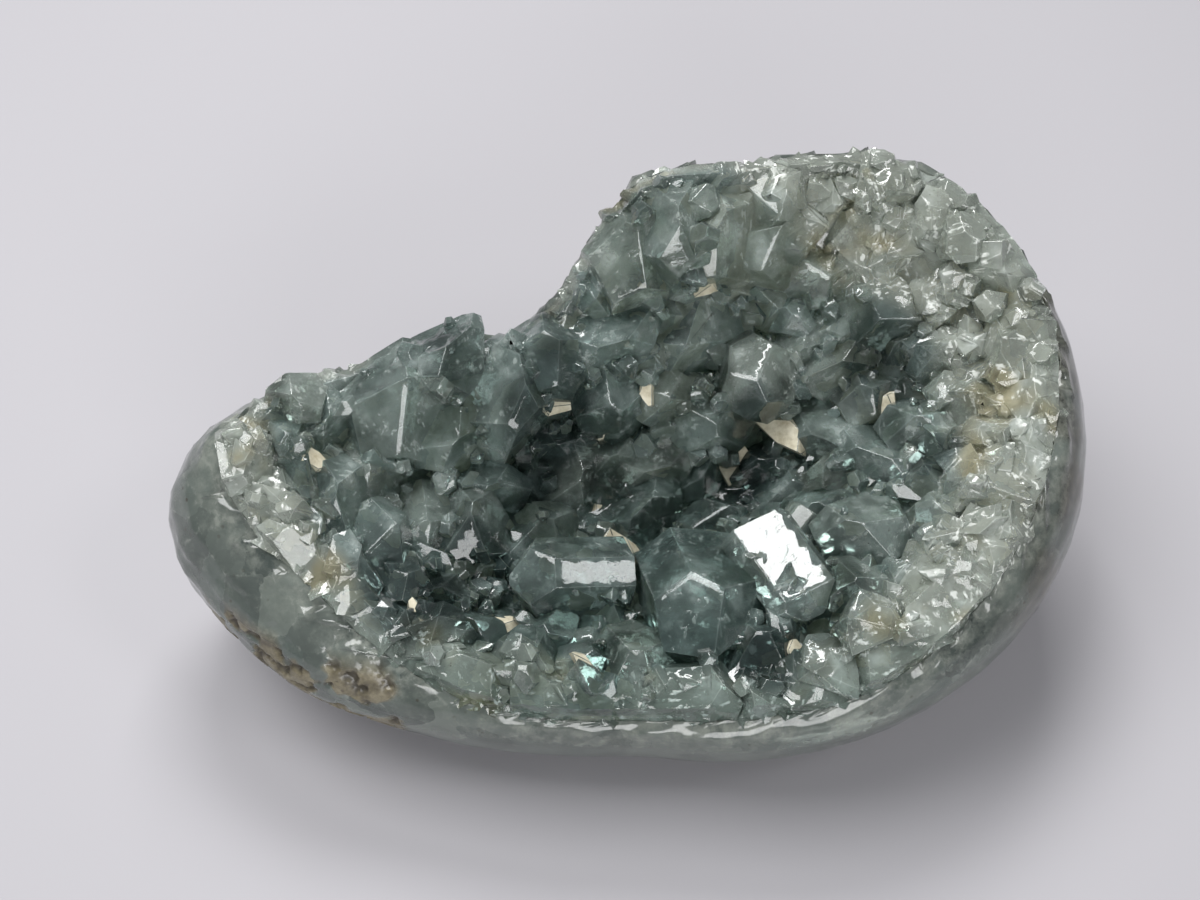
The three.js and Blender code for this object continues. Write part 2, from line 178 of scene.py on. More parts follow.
def polished_celestite():
    """Massive celestite and matrix, ground smooth and polished to a wet gloss: cut crystals side by side in
    clouded greys, with light fractures between them, frosted near the rim, weathered tan matrix with pits,
    and a darker brown-olive side."""
    made, tree = material("polished_celestite")
    place = add(tree, "TexCoord", {}, "Object")
    names = ("white", "tan", "dark", "pit")
    carried = [add(tree, "Attribute", {"attribute_name": name}, "Fac") for name in names]
    white, tan, dark, pit = carried
    cloudy = {"Scale": 1 / (12 * MM), "Detail": 5, "Roughness": 0.65, "Distortion": 0.5}
    broad = add(tree, "TexNoise", {"Vector": place, **cloudy})
    fine = {"Scale": 1 / (2.6 * MM), "Detail": 5, "Roughness": 0.7}
    grains = add(tree, "TexNoise", {"Vector": place, **fine})

    # cut crystals: large and small sections with uneven outlines, each in its own grey
    wander = add(tree, "TexNoise", {"Vector": place, "Scale": 1 / (6 * MM), "Detail": 2})
    sway = (6 * MM, -5 * MM, 4 * MM)
    bent = add(tree, "VectorMath", {"operation": "MULTIPLY_ADD", 0: wander, 1: sway, 2: place})
    large = {"Vector": bent, "Scale": 1 / (7 * MM)}
    own_colour = add(tree, "TexVoronoi", large, "Color")
    section = add(tree, "SeparateColor", {"Color": own_colour})
    stops = [(0.05, "#4c5551"), (0.35, "#66706b"), (0.7, "#7d857e"), (0.95, "#5a625e")]
    tint = add(tree, "ValToRGB", {"Fac": section, "stops": stops})
    own_colour = add(tree, "TexVoronoi", {"Vector": bent, "Scale": 1 / (3 * MM)}, "Color")
    section = add(tree, "SeparateColor", {"Color": own_colour})
    shade = add(tree, "ValToRGB", {"Fac": section, "stops": [(0.0, 0.85), (1.0, 1.0)]})
    tint = add(tree, "Mix", {**DARKEN, UNDER: tint, OVER: shade}, MIXED)

    # clouds and fine grains over them, and light fractures between them
    clouded = add(tree, "ValToRGB", {"Fac": broad, "stops": [(0.35, 0.0), (0.65, 0.6)]})
    tint = add(tree, "Mix", {**BLEND, SHARE: clouded, UNDER: tint, OVER: linear("#737b74")}, MIXED)
    grainy = add(tree, "ValToRGB", {"Fac": grains, "stops": [(0.5, 0.0), (0.75, 0.4)]})
    tint = add(tree, "Mix", {**BLEND, SHARE: grainy, UNDER: tint, OVER: linear("#959b92")}, MIXED)
    border = add(tree, "TexVoronoi", {**large, "feature": "DISTANCE_TO_EDGE"}, "Distance")
    narrow = add(tree, "ValToRGB", {"Fac": border, "stops": [(0.0, 1.0), (0.05, 0.0)]})
    gappy = add(tree, "ValToRGB", {"Fac": grains, "stops": [(0.5, 0.0), (0.62, 0.5)]})
    joint = add(tree, "Math", {**TIMES, 0: narrow, 1: gappy})
    tint = add(tree, "Mix", {**BLEND, SHARE: joint, UNDER: tint, OVER: linear("#a2a79f")}, MIXED)

    # the brown-olive side, and frost near the rim
    olive = add(tree, "ValToRGB", {"Fac": grains, "stops": [(0.35, "#35332b"), (0.6, "#5c574a")]})
    tint = add(tree, "Mix", {**BLEND, SHARE: dark, UNDER: tint, OVER: olive}, MIXED)
    uneven = add(tree, "ValToRGB", {"Fac": grains, "stops": [(0.38, 0.0), (0.68, 0.85)]})
    frost = add(tree, "Math", {**TIMES, 0: white, 1: uneven})
    tint = add(tree, "Mix", {**BLEND, SHARE: frost, UNDER: tint, OVER: linear("#a4a99f")}, MIXED)

    # weathered tan matrix, dark in its pits, and small brown dots all over
    stops = [(0.35, "#4e4839"), (0.5, "#6d6652"), (0.7, "#8d8671")]
    brown = add(tree, "ValToRGB", {"Fac": grains, "stops": stops})
    worn = add(tree, "ValToRGB", {"Fac": tan, "stops": [(0.2, 0.0), (0.6, 1.0)]})
    tint = add(tree, "Mix", {**BLEND, SHARE: worn, UNDER: tint, OVER: brown}, MIXED)
    deep = add(tree, "ValToRGB", {"Fac": pit, "stops": [(0.2, 0.0), (0.7, 0.85)]})
    tint = add(tree, "Mix", {**BLEND, SHARE: deep, UNDER: tint, OVER: linear("#332e24")}, MIXED)
    specks = add(tree, "TexVoronoi", {"Vector": place, "Scale": 1 / (2.6 * MM)}, "Distance")
    small = add(tree, "ValToRGB", {"Fac": specks, "stops": [(0.08, 1.0), (0.16, 0.0)]})
    here = add(tree, "ValToRGB", {"Fac": broad, "stops": [(0.45, 0.0), (0.6, 0.8)]})
    dots = add(tree, "Math", {**TIMES, 0: small, 1: here})
    tint = add(tree, "Mix", {**BLEND, SHARE: dots, UNDER: tint, OVER: linear("#4a4236")}, MIXED)

    # polished and a little see-through, but for the matrix, which is dull
    gloss = add(tree, "ValToRGB", {"Fac": tan, "stops": [(0.0, 0.08), (1.0, 0.45)]})
    clear = add(tree, "ValToRGB", {"Fac": tan, "stops": [(0.0, 0.35), (1.0, 0.0)]})
    normal = add(tree, "Bump", {"Height": grains, "Strength": 0.2, "Distance": 0.1 * MM})
    glass = {"IOR": IOR, "Transmission Weight": clear, "Roughness": gloss}
    surface = add(tree, "BsdfPrincipled", {**glass, "Base Color": tint, "Normal": normal})
    add(tree, "OutputMaterial", {"Surface": surface})
    return made


def pale_matrix():
    """The cream celestite sand that the crystals grew on, dull and grainy."""
    made, tree = material("pale_matrix")
    place = add(tree, "TexCoord", {}, "Object")
    sandy = {"Scale": 1 / (2 * MM), "Detail": 5, "Roughness": 0.7}
    grains = add(tree, "TexNoise", {"Vector": place, **sandy})
    stops = [(0.3, "#a39a80"), (0.55, "#c8c2ac"), (0.75, "#dcd6c2")]
    tint = add(tree, "ValToRGB", {"Fac": grains, "stops": stops})
    surface = add(tree, "BsdfPrincipled", {"Base Color": tint, "Roughness": 0.8})
    add(tree, "OutputMaterial", {"Surface": surface})
    return made


def pale_card():
    """Matt card, pale grey and even."""
    made, tree = material("pale_card")
    surface = add(tree, "BsdfPrincipled", {"Base Color": linear("#aeacb0"), "Roughness": 0.7})
    add(tree, "OutputMaterial", {"Surface": surface})
    return made


# ---- Regions, in plan, in mm ----

# Crushed, sugary bands: the line that each follows, and its half width.
PALE_BANDS = [
    ([(24, 44), (42, 37), (57, 27), (64, 12), (65, -4), (63, -18), (54, -31), (44, -40)], 11),
    ([(-69, -4), (-65, -13), (-57, -26), (-49, -34)], 7),
    ([(-45, -37), (-30, -40), (-15, -43)], 6),
    ([(4, -47), (18, -47), (34, -43)], 5),
]
# Dark clear crystals, and painted shade where the hollow lies in shadow (its dark hole and back right wall):
# each spot's place and radius.
SMOKY_AND_SHADE_SPOTS = [
    (-37, -29, 9), (-13, 8, 6), (22, 5, 6), (46, 16, 8),
    (52, -6, 4), (22, -40, 6), (-26, -17, 6), (-18, 2, 5),
]
# Cream matrix that shows between the crystals: each plate's place and half length.
MATRIX_PLATES = [
    (-5, -5, 4), (-3, -13, 5), (19, 8, 6.5), (28, 10, 6), (-21, -28, 4),
    (-24, -31, 3), (-37, -30, 2), (-55, -8, 3), (-14, 8, 3), (-7, 9, 2.5),
    (13, 24, 2.5), (-9, -38, 3), (26, -37, 2.5), (3, 11, 3), (47, 11, 2.5),
]
# Weathered matrix with pits, low on the front of the left end.
TAN_LINE = [(-66, -26), (-58, -36), (-46, -44)]


def smooth(low, high, x):
    """0 below low, 1 above high, and eased between."""
    t = np.clip((x - low) / (high - low), 0, 1)
    return t * t * (3 - 2 * t)


def line_distance(spots, line):
    """Distance in plan from each spot to a broken line."""
    best = np.full(len(spots), np.inf)
    for start, end in zip(line, line[1:]):
        start = np.array(start, float)
        leg = np.array(end, float) - start
        along = np.clip((spots - start) @ leg / (leg @ leg), 0, 1)
        best = np.minimum(best, np.linalg.norm(spots - start - along[:, None] * leg, axis=1))
    return best


def crushed_share(spots):
    """How crushed and sugary the celestite is at places in plan."""
    shares = [
        1 - smooth(width * 0.6, width * 1.2, line_distance(spots, line))
        for line, width in PALE_BANDS
    ]
    return np.max(shares, axis=0)


def smoky_and_shade_share(spots):
    """How dark the crystals are at places in plan: dark clear crystals, and painted shade where the hollow
    lies in shadow.
    """
    shares = []
    for x, y, radius in SMOKY_AND_SHADE_SPOTS:
        away = np.linalg.norm(spots - np.array((x, y)), axis=1)
        shares.append(1 - smooth(radius * 0.7, radius * 1.2, away))
    return np.max(shares, axis=0)


# ---- Mesh tools ----

SAME_SPOT = 1e-6  # corners nearer than this, in metres, are one corner
WELD = 2e-6  # the same after the pieces are joined
SPACING_MM = 0.5  # between the places that stand for an edge

dice = np.random.default_rng(11)


def linked(mesh, name):
    """A new object in the scene for a mesh."""
    piece = bpy.data.objects.new(name, mesh)
    bpy.context.collection.objects.link(piece)
    return piece


def select_only(piece):
    """Makes a piece the one that is selected and active."""
    bpy.ops.object.select_all(action="DESELECT")
    bpy.context.view_layer.objects.active = piece
    piece.select_set(True)


def opened_mesh(mesh):
    """A mesh opened for work, with its doubles merged."""
    work = bmesh.new()
    work.from_mesh(mesh)
    bmesh.ops.remove_doubles(work, verts=work.verts, dist=SAME_SPOT)
    return work


def close_mesh(work, mesh):
    """Puts the work back in its mesh."""
    work.to_mesh(mesh)
    work.free()


def copy_of(node, name):
    """A new object with a merged copy of a CAD node's mesh."""
    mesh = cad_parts[node].data.copy()
    mesh.materials.clear()
    close_mesh(opened_mesh(mesh), mesh)
    return linked(mesh, name)


def surface_tree(piece):
    """A search tree over a piece's surface."""
    return BVHTree.FromObject(piece, bpy.context.evaluated_depsgraph_get())


def point_tree(points):
    """A search tree over points."""
    tree = kdtree.KDTree(len(points))
    for i, point in enumerate(points):
        tree.insert(point, i)
    tree.balance()
    return tree


def distances(spots, points):
    """Distance from each spot to the nearest of the points."""
    tree = point_tree(points)
    return np.array([tree.find(spot)[2] for spot in spots])


def turn_at(edge):
    """Degrees by which the surface turns at an edge: above 0 at a ridge and below 0 in a seam."""
    return math.degrees(edge.calc_face_angle_signed(0))


def other_face(edge, face):
    """The face on the other side of an edge."""
    return edge.link_faces[0] if edge.link_faces[1] is face else edge.link_faces[1]


def edge_points(work, wanted):
    """Places in mm, closely spaced, along the edges whose turn in degrees is wanted."""
    points = []
    for edge in work.edges:
        if len(edge.link_faces) == 2 and wanted(turn_at(edge)):
            start, end = (v.co / MM for v in edge.verts)
            count = max(2, int((end - start).length / SPACING_MM))
            points += [start.lerp(end, share) for share in np.linspace(0, 1, count)]
    return points


def split_long_edges(work, longest_mm, wanted=lambda edge: True):
    """Halves the wanted edges of a mesh of triangles, longest first, until none is longer than the limit."""
    longest = longest_mm * MM
    queue = [e for e in work.edges if e.calc_length() > longest and wanted(e)]
    while queue:
        queue.sort(key=lambda e: -e.calc_length())
        fresh = []
        for edge in queue:
            ends = set(edge.verts)
            sides = list(edge.link_faces)
            _, middle = bmesh.utils.edge_split(edge, edge.verts[0], 0.5)
            for face in sides:
                opposite = next(v for v in face.verts if v not in ends and v is not middle)
                bmesh.utils.face_split(face, middle, opposite)
            fresh += middle.link_edges
        queue = [e for e in dict.fromkeys(fresh) if e.calc_length() > longest and wanted(e)]


def store(mesh, name, numbers):
    """Stores a number for each corner of a mesh."""
    layer = mesh.attributes.new(name, "FLOAT", "POINT")
    layer.data.foreach_set("value", np.asarray(numbers, np.float32))


def corners(mesh):
    """The corners' places, in mm."""
    flat = np.empty(len(mesh.vertices) * 3, np.float32)
    mesh.vertices.foreach_get("co", flat)
    return flat.reshape(-1, 3).astype(float) / MM


def move_corners(mesh, spots):
    """Moves the corners to places in mm."""
    mesh.vertices.foreach_set("co", (spots * MM).astype(np.float32).ravel())
    mesh.update()


def outward(mesh):
    """The corners' normals."""
    flat = np.empty(len(mesh.vertices) * 3, np.float32)
    mesh.vertex_normals.foreach_get("vector", flat)
    return flat.reshape(-1, 3)


def smooth_by_angle(piece, degrees):
    """Smooth shading, with sharp edges where faces turn by more than the angle."""
    select_only(piece)
    bpy.ops.object.shade_smooth_by_angle(angle=math.radians(degrees))


def clouds(spots, size_mm, seed):
    """Soft noise from about 0 to 1 at places, its features about the given size."""
    shift = Vector((seed * 7.3, seed * 1.9, seed * 3.1))
    softness, step, layers = 0.9, 2.1, 3
    raw = [space_noise.fractal(Vector(s) / size_mm + shift, softness, step, layers) for s in spots]
    return np.array(raw) * 0.28 + 0.5


# ---- Small crystals, broken lumps and plates of matrix ----

MOUTH = np.array((0, -0.45, 0.89))  # the way the hollow opens
UP = np.array((0, 0, 1))
UPRIGHT = 0.002  # the crust's upright outside has normals that rise by less than this
SEAM_TURN = 12  # degrees of turn at an edge, from which it counts as a seam or a ridge
CELESTITE, MATRIX = 0, 1  # the crust's materials
SIDE_TURNS = (38, 90, 142, 218, 270, 322)  # a celestite prism's six sides, in degrees
TIP_SIDES = ((0.8, 0), (-0.8, 0), (0, 1), (0, -1))  # the ways that a point's four faces lean
TIP_RISE = 0.62
FORMS_OF_EACH = 6
BLOCK_CUTS = 13
PLATE_CUTS = 8
PLATES_OF_EACH = 4
RIM_LUMPS = 150


def carved(name, planes, size):
    """A lump cut from a cube by planes, each a direction and a distance, as a mesh to copy."""
    bpy.ops.mesh.primitive_cube_add(size=size)
    lump = bpy.context.object
    lump.name = name
    bpy.ops.object.mode_set(mode="EDIT")
    for direction, distance in planes:
        bpy.ops.mesh.select_all(action="SELECT")
        way = Vector(direction).normalized()
        bpy.ops.mesh.bisect(plane_co=way * distance, plane_no=way, use_fill=True, clear_outer=True)
    bpy.ops.object.mode_set(mode="OBJECT")
    mesh = lump.data
    bpy.data.objects.remove(lump)
    return mesh


def crystal_forms():
    """Small crystals with a half width of about 1, along +Z: a six-sided prism and a four-faced point."""
    forms = []
    for _ in range(FORMS_OF_EACH):
        planes = []
        for turn in SIDE_TURNS:
            way = (math.cos(math.radians(turn)), math.sin(math.radians(turn)), 0)
            planes.append((way, dice.uniform(0.85, 1.1)))
        tip = dice.uniform(1.0, 1.9)
        planes += [((x, y, TIP_RISE), tip * dice.uniform(0.8, 1.0)) for x, y in TIP_SIDES]
        forms.append(carved("small_crystal", planes, 4))
    return forms


def block_forms():
    """Broken blocks with a half width of about 1."""
    forms = []
    for _ in range(FORMS_OF_EACH):
        planes = [(dice.normal(size=3), dice.uniform(0.7, 1.0)) for _ in range(BLOCK_CUTS)]
        forms.append(carved("block", planes, 2.1))
    return forms


def plate_forms():
    """Broken plates of matrix, with a half length of about 1 and steep sides."""
    forms = []
    for _ in range(PLATES_OF_EACH):
        planes = []
        for _ in range(PLATE_CUTS):
            way = (dice.normal(), dice.normal(), dice.normal() * 0.3)
            planes.append((way, dice.uniform(0.7, 1.0)))
        forms.append(carved("plate", planes, 2.0))
    return forms


def sown(spots, normals, weights, count, half_mm, lean, sunk, flat):
    """Places for copies, by weight: each a root under the surface, an axis near the normal, a turn and three
    sizes."""
    chosen = dice.choice(len(spots), count, replace=False, p=weights / weights.sum())
    places = []
    for i in chosen:
        half = dice.uniform(*half_mm)
        axis = normals[i] + MOUTH * 0.4 + dice.normal(size=3) * lean
        axis /= np.linalg.norm(axis)
        sizes = half * np.array((1, dice.uniform(0.7, 1.1), dice.uniform(0.9, 1.4) * flat))
        root = spots[i] - axis * half * sunk
        places.append((root, axis, dice.uniform(0, math.tau), sizes))
    return places


def along_rim(rim):
    """Places for flat broken lumps that cover the line between crust and rind, evenly spread."""
    rim = sorted(rim, key=lambda point: math.atan2(point.y, point.x))
    places = []
    for share in (np.arange(RIM_LUMPS) + dice.uniform(0, 1, RIM_LUMPS)) / RIM_LUMPS:
        spot = rim[int(share * len(rim))]
        out = np.array((spot.x, spot.y, 0))
        out /= np.linalg.norm(out)
        half = dice.uniform(1.4, 2.8)
        axis = out * dice.uniform(0.0, 0.5) + UP + dice.normal(size=3) * 0.12
        axis /= np.linalg.norm(axis)
        sizes = half * np.array((1, dice.uniform(0.7, 1.1), 0.4))
        root = np.array(spot) - out * half * 0.75 - axis * half * 0.12
        places.append((root, axis, dice.uniform(0, math.tau), sizes))
    return places


def between(spots, normals, gaps):
    """Places for the matrix plates: each in the open gap that is nearest to its place in plan."""
    places = []
    for x, y, half in MATRIX_PLATES:
        away = np.linalg.norm(spots[:, :2] - (x, y), axis=1)
        i = np.argmin(away + 6 * (1 - gaps))
        axis = normals[i] + MOUTH * 0.8 + dice.normal(size=3) * 0.2
        axis /= np.linalg.norm(axis)
        sizes = half * np.array((1, dice.uniform(0.45, 0.65), 0.35))
        root = spots[i] + axis * 0.2
        places.append((root, axis, dice.uniform(0, math.tau), sizes))
    return places


def copies(wanted):
    """One mesh of copies, each of some form out of a few, of its material and at its place."""
    spots, faces, stuffs, start = [], [], [], 0
    for forms, stuff, (root, axis, turn, sizes) in wanted:
        form = forms[dice.integers(len(forms))]
        lean = Vector(axis).to_track_quat("Z", "Y").to_matrix()
        pose = np.array(lean @ Matrix.Rotation(turn, 3, "Z"))
        spots.append(np.array([v.co for v in form.vertices]) * sizes @ pose.T + root)
        faces += [[start + i for i in polygon.vertices] for polygon in form.polygons]
        stuffs += [stuff] * len(form.polygons)
        start += len(form.vertices)
    mesh = bpy.data.meshes.new("copies")
    mesh.from_pydata(np.concatenate(spots) * MM, [], faces)
    mesh.polygons.foreach_set("material_index", stuffs)
    return mesh


def in_triangles(mesh):
    """Merges a mesh's doubles and splits its faces into triangles."""
    work = opened_mesh(mesh)
    bmesh.ops.triangulate(work, faces=work.faces)
    close_mesh(work, mesh)


def join_lumps(piece, mesh):
    """Joins a mesh of closed lumps to a piece as one solid."""
    in_triangles(piece.data)
    in_triangles(mesh)
    for stuff in piece.data.materials:
        mesh.materials.append(stuff)
    lumps = linked(mesh, "lumps")
    step = piece.modifiers.new("join", "BOOLEAN")
    step.show_viewport = False  # it is worked out once, when it is applied
    step.operation = "UNION"
    step.solver = "EXACT"
    step.use_self = True
    step.object = lumps
    select_only(piece)
    bpy.ops.object.modifier_apply(modifier="join")
    bpy.data.objects.remove(lumps)


def overgrow(piece, seat, rim):
    """Sets small crystals and matrix in the gaps between the large crystals, and broken lumps along the pale
    bands and the rim."""
    work = bmesh.new()
    work.from_mesh(piece.data)
    seams = edge_points(work, lambda turn: turn < -SEAM_TURN)
    bmesh.ops.triangulate(work, faces=work.faces)
    split_long_edges(work, 2)
    work.normal_update()
    spots = np.array([v.co for v in work.verts]) / MM
    normals = np.array([v.normal for v in work.verts])
    upright = [any(abs(f.normal.z) < UPRIGHT for f in v.link_faces) for v in work.verts]
    upright = np.array(upright)
    work.free()

    off_seat = np.array([seat.find_nearest(Vector(s) * MM)[3] for s in spots]) > 1 * MM
    inner = off_seat & ~upright
    to_wall = distances(spots, spots[upright])
    pale = crushed_share(spots[:, :2])
    gaps = inner * (1 - smooth(0.8, 2.0, distances(spots, seams)))
    clear_gaps = gaps * (1 - 0.5 * pale)
    bands = inner * (pale > 0.3) * (0.4 + pale) * smooth(1.5, 4.0, to_wall)
    crystals = crystal_forms()
    lumps = block_forms()
    # forms, where, how many, half width in mm, lean, depth of the root, and height for the width
    sowing = [
        (crystals, clear_gaps, 250, (0.9, 2.4), 0.35, 0.7, 1.0),
        (crystals, clear_gaps * smooth(3, 8, to_wall), 50, (2.2, 3.6), 0.3, 0.8, 1.0),
        (crystals, inner * smooth(1, 3, to_wall), 40, (0.5, 1.1), 0.5, 0.6, 1.0),
        (lumps, bands * smooth(3, 7, to_wall), 75, (3.0, 5.2), 0.15, 0.3, 0.45),
        (lumps, bands, 150, (1.2, 3.0), 0.3, 0.3, 0.6),
    ]
    wanted = []
    for forms, *how in sowing:
        wanted += [(forms, CELESTITE, place) for place in sown(spots, normals, *how)]
    wanted += [(lumps, CELESTITE, place) for place in along_rim(rim)]
    wanted += [(plate_forms(), MATRIX, place) for place in between(spots, normals, gaps)]
    join_lumps(piece, copies(wanted))


# ---- The crust ----

FACET_NUMBERS = ("kind", "crystal", "facet", "edge")  # what each facet of the crust carries
WALL, FACE, CUT = 0, 1, 2  # kinds of facet: the crust's outside, a crystal's face, a break at the rim
ON_SEAT_MM = 0.6  # what is nearer than this to the rind is the crust's outside
CUT_RISE = 0.75  # facets beside the outside that face up by more than this are breaks
FLAT_TURN = 0.3  # degrees of turn under which facets are one
SAME_CRYSTAL_TURN = -3  # degrees: a deeper seam parts two crystals
CHIP_TURN = 15  # degrees of turn from which a ridge is chipped
SHORTEST_CHIP_MM = 0.6
CHIP_MM = 0.09  # width of the chipped edges
FINE_EDGE_MM = 1.9  # longest edge of the finished crust
HILLOCK_MM = 0.07  # height of the growth hillocks on the faces
CRUSH_MM = 0.6  # depth of the relief in the crushed bands
BREAK_MM = 1.2  # depth of the relief in the breaks at the rim


def sort_facets(work, seat):
    """Gives each facet of the crust its kind, and a random share for it and for its crystal."""
    for name in FACET_NUMBERS:
        work.faces.layers.float.new(name)
    kind, crystal, facet, _ = (work.faces.layers.float[name] for name in FACET_NUMBERS)
    for f in work.faces:
        near = seat.find_nearest(f.calc_center_median())[3]
        f[kind] = WALL if near < ON_SEAT_MM * MM or abs(f.normal.z) < UPRIGHT else FACE
        f[facet] = dice.random()
        f[crystal] = -1
    for f in work.faces:
        by_wall = any(len(e.link_faces) == 2 and other_face(e, f)[kind] == WALL for e in f.edges)
        if f[kind] == FACE and by_wall and f.normal.z > CUT_RISE:
            f[kind] = CUT
    same_crystal = math.radians(SAME_CRYSTAL_TURN)
    for first in work.faces:
        if first[crystal] >= 0:
            continue
        share = dice.random()
        first[crystal] = share
        stack = [first] if first[kind] != WALL else []
        while stack:
            f = stack.pop()
            for e in f.edges:
                if len(e.link_faces) == 2 and e.calc_face_angle_signed(0) > same_crystal:
                    other = other_face(e, f)
                    if other[crystal] < 0 and other[kind] != WALL:
                        other[crystal] = share
                        stack.append(other)


def chip_edges(work):
    """Narrow bevels along the crystals' edges, made lighter in colour: partly chipped, partly a painted
    highlight.
    """
    kind, edge = (work.faces.layers.float[n] for n in ("kind", "edge"))
    sharp = [
        e
        for e in work.edges
        if len(e.link_faces) == 2
        and turn_at(e) > CHIP_TURN
        and e.calc_length() > SHORTEST_CHIP_MM * MM
        and all(f[kind] != WALL for f in e.link_faces)
    ]
    width = CHIP_MM * MM
    done = bmesh.ops.bevel(work, geom=sharp, offset=width, affect="EDGES", segments=1, profile=0.5)
    # the bevel faces are marked, and the crystals' colour is made lighter there: partly chipped, partly a
    # painted highlight
    for f in done["faces"]:
        f[edge] = 1.0


def corner_kinds(work):
    """The kind of each corner: the outside's where any of it meets there, else a break's, else a face's."""
    kind = work.faces.layers.float["kind"]
    kinds = np.full(len(work.verts), FACE)
    work.verts.index_update()
    for wanted in (CUT, WALL):
        for f in work.faces:
            if f[kind] == wanted:
                for v in f.verts:
                    kinds[v.index] = wanted
    return kinds


def keep_largest(work):
    """Drops the loose bits that joining leaves."""
    parts = []
    seen = set()
    for first in work.verts:
        if first in seen:
            continue
        part = []
        stack = [first]
        seen.add(first)
        while stack:
            v = stack.pop()
            part.append(v)
            for e in v.link_edges:
                other = e.other_vert(v)
                if other not in seen:
                    seen.add(other)
                    stack.append(other)
        parts.append(part)
    parts.sort(key=len)
    loose = [v for part in parts[:-1] for v in part]
    bmesh.ops.delete(work, geom=loose, context="VERTS")


def close_gaps(work):
    """Takes out the faces on any fault in the surface, and fills the holes that they leave."""
    bad = dict.fromkeys(v for e in work.edges if len(e.link_faces) != 2 for v in e.verts)
    stray = list(dict.fromkeys(f for v in bad for f in v.link_faces))
    bmesh.ops.delete(work, geom=stray, context="FACES")
    bmesh.ops.delete(work, geom=[v for v in work.verts if not v.link_faces], context="VERTS")
    bmesh.ops.holes_fill(work, edges=[e for e in work.edges if e.is_boundary])


def in_fine_facets(mesh, seat):
    """Sorts the crust's facets, chips its edges and splits it finely. Gives places along its seams and its
    ridges, and the kind of each corner."""
    work = bmesh.new()
    work.from_mesh(mesh)
    bmesh.ops.remove_doubles(work, verts=work.verts, dist=WELD)
    keep_largest(work)
    flat = math.radians(FLAT_TURN)
    everything = {"verts": work.verts, "edges": work.edges}
    bmesh.ops.dissolve_limit(work, angle_limit=flat, delimit={"MATERIAL"}, **everything)
    sort_facets(work, seat)
    seams = edge_points(work, lambda turn: turn < -SEAM_TURN)
    ridges = edge_points(work, lambda turn: turn > SEAM_TURN)
    chip_edges(work)
    bmesh.ops.remove_doubles(work, verts=work.verts, dist=WELD)
    bmesh.ops.triangulate(work, faces=work.faces)
    bmesh.ops.dissolve_degenerate(work, dist=WELD, edges=work.edges)
    close_gaps(work)
    bmesh.ops.triangulate(work, faces=work.faces)
    bmesh.ops.recalc_face_normals(work, faces=work.faces)
    split_long_edges(work, FINE_EDGE_MM)
    kinds = corner_kinds(work)
    close_mesh(work, mesh)
    return seams, ridges, kinds


# its share is used as painted shade on the crystals' colour
def open_share(spots, normals, tree):
    """The share of the half-round over each spot that is free of crystal, up to a reach of 28 mm."""
    rays, reach, lift = 12, 28 * MM, 0.15
    step = dice.normal(size=(rays, 3))
    step /= np.linalg.norm(step, axis=1)[:, None]
    ways = normals[:, None, :] * 1.05 + step[None, :, :]
    starts = (spots + normals * lift) * MM
    free = [
        sum(tree.ray_cast(Vector(start), Vector(way), reach)[0] is None for way in fan)
        for start, fan in zip(starts, ways)
    ]
    return np.array(free) / rays


def relief(spots, normals, to_edge, kinds, seat):
    """Low growth hillocks inside faces and a rough surface where they are broken. The crust's outside moves
    out to its seat."""
    pale = crushed_share(spots[:, :2])
    calm = smooth(0.0, 1.5, to_edge)
    hills = clouds(spots, 2.6, seed=3) - 0.5
    broken = np.abs(clouds(spots, 5, seed=4) - 0.5) * 2
    on_face = calm * (hills * HILLOCK_MM - broken * pale * CRUSH_MM)
    move = np.where(kinds == FACE, on_face, 0)
    move -= np.where(kinds == CUT, broken * (0.3 + calm) * BREAK_MM, 0)
    moved = spots + normals * move[:, None]
    for i in np.flatnonzero(kinds == WALL):
        place, _, _, gap = seat.find_nearest(Vector(spots[i]) * MM)
        if gap < ON_SEAT_MM * MM:
            moved[i] = spots[i] + (np.array(place) / MM - spots[i]) * 0.9
    return moved


def wandering(spots, to_rim):
    """The broken rim's uneven course, as a shift in mm of all that is near it."""
    sideways_mm, upward_mm = 1.8, 2.0
    near = 1 - smooth(1.0, 6.0, to_rim)
    plan = spots * (1, 1, 0)
    away = plan / np.maximum(np.linalg.norm(plan, axis=1), 1)[:, None]
    sideways = (clouds(spots, 6, seed=10) - 0.5) * sideways_mm * near
    upward = (clouds(spots, 7, seed=9) - 0.5) * upward_mm * near
    return away * sideways[:, None] + UP * upward[:, None]


